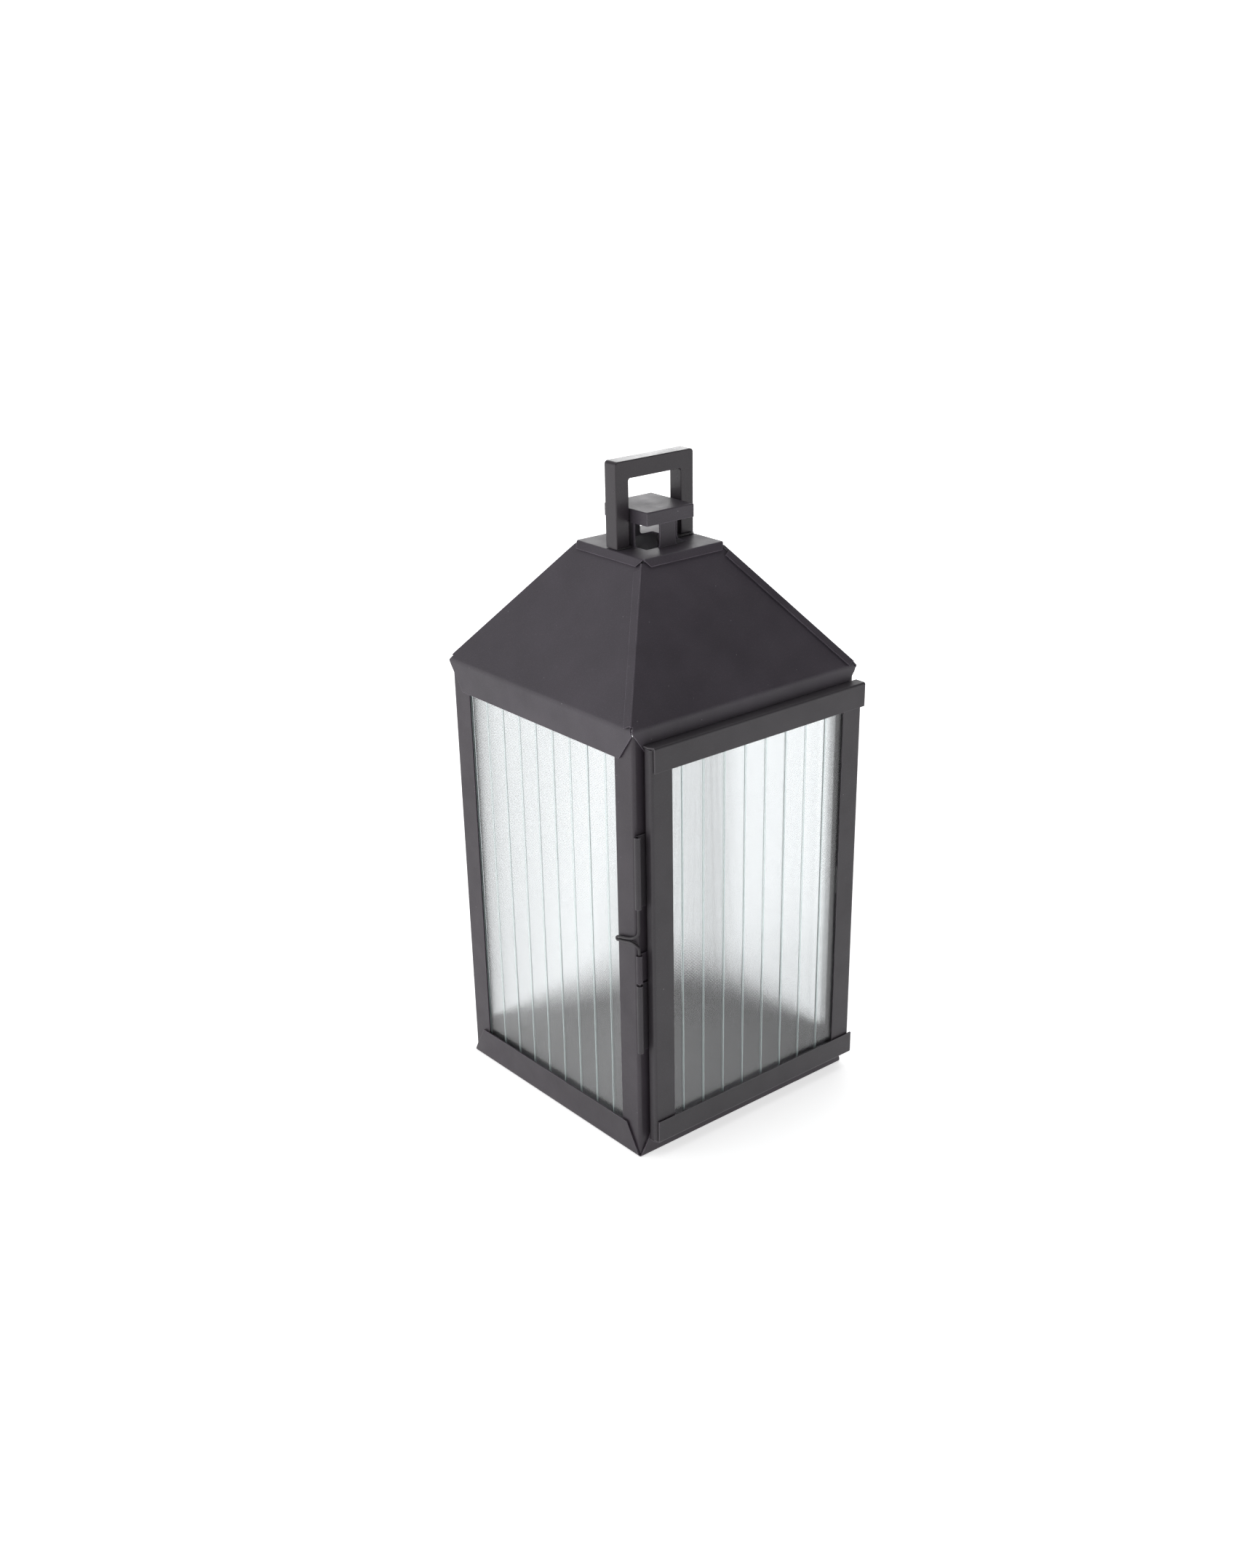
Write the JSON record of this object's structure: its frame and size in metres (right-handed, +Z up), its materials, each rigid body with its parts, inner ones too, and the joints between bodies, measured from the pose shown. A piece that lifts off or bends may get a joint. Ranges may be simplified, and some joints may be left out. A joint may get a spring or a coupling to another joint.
{
  "type": "candle lantern",
  "caption": "Square folded-steel candle lantern with ribbed glass walls, a hipped roof with a raised vent cap, a square handle, and one glazed side hinged as a door.",
  "frame": {"origin": "middle of the underside of the base", "axes": "+Z up along the body's height, -Y out through the door, +X towards the door's free side"},
  "size_m": [0.1533, 0.1597, 0.3464],
  "materials": {
    "body": "satin charcoal powder coat with a fine speckle",
    "roof": "satin charcoal powder coat with a fine speckle",
    "door": "satin charcoal powder coat with a fine speckle",
    "handle": "satin charcoal powder coat over a welded bar",
    "wire": "satin charcoal powder coat on spring wire",
    "magnet": "nickel plate",
    "glass": "clear, with vertical ribs and a fine cross texture"
  },
  "bodies": {
    "body": {"base_tray": "body", "corner_post_front_left": "body", "corner_post_front_right": "body", "corner_post_back_right": "body", "corner_post_back_left": "body", "roof_panel_front": "roof", "roof_panel_right": "roof", "roof_panel_back": "roof", "roof_panel_left": "roof", "crown_plate": "roof", "vent_cap": "roof", "carrying_handle": "handle", "side_pane_left": "glass", "side_pane_right": "glass", "back_pane": "glass", "glass_retainer_front_left": "body", "glass_retainer_front_right": "body", "glass_retainer_back_left": "body", "glass_retainer_back_right": "body", "hinge_leaf_post": "body", "hinge_wire": "wire"},
    "door": {"door_stile_hinge_side": "door", "door_stile_free_side": "door", "door_rail_top": "door", "door_rail_bottom": "door", "door_pane": "glass", "door_glass_clip_hinge_low": "door", "door_glass_clip_hinge_high": "door", "door_glass_clip_free_low": "door", "door_glass_clip_free_high": "door", "door_magnet": "magnet", "hinge_leaf_door_low": "door", "hinge_leaf_door_high": "door"}
  },
  "joints": [
    {"name": "door_hinge", "type": "hinge", "parent": "body", "child": "door", "pos_m": [-0.0747, -0.07675, 0.12], "axis": [0, 0, -1], "range_deg": [0, 180]}
  ]
}
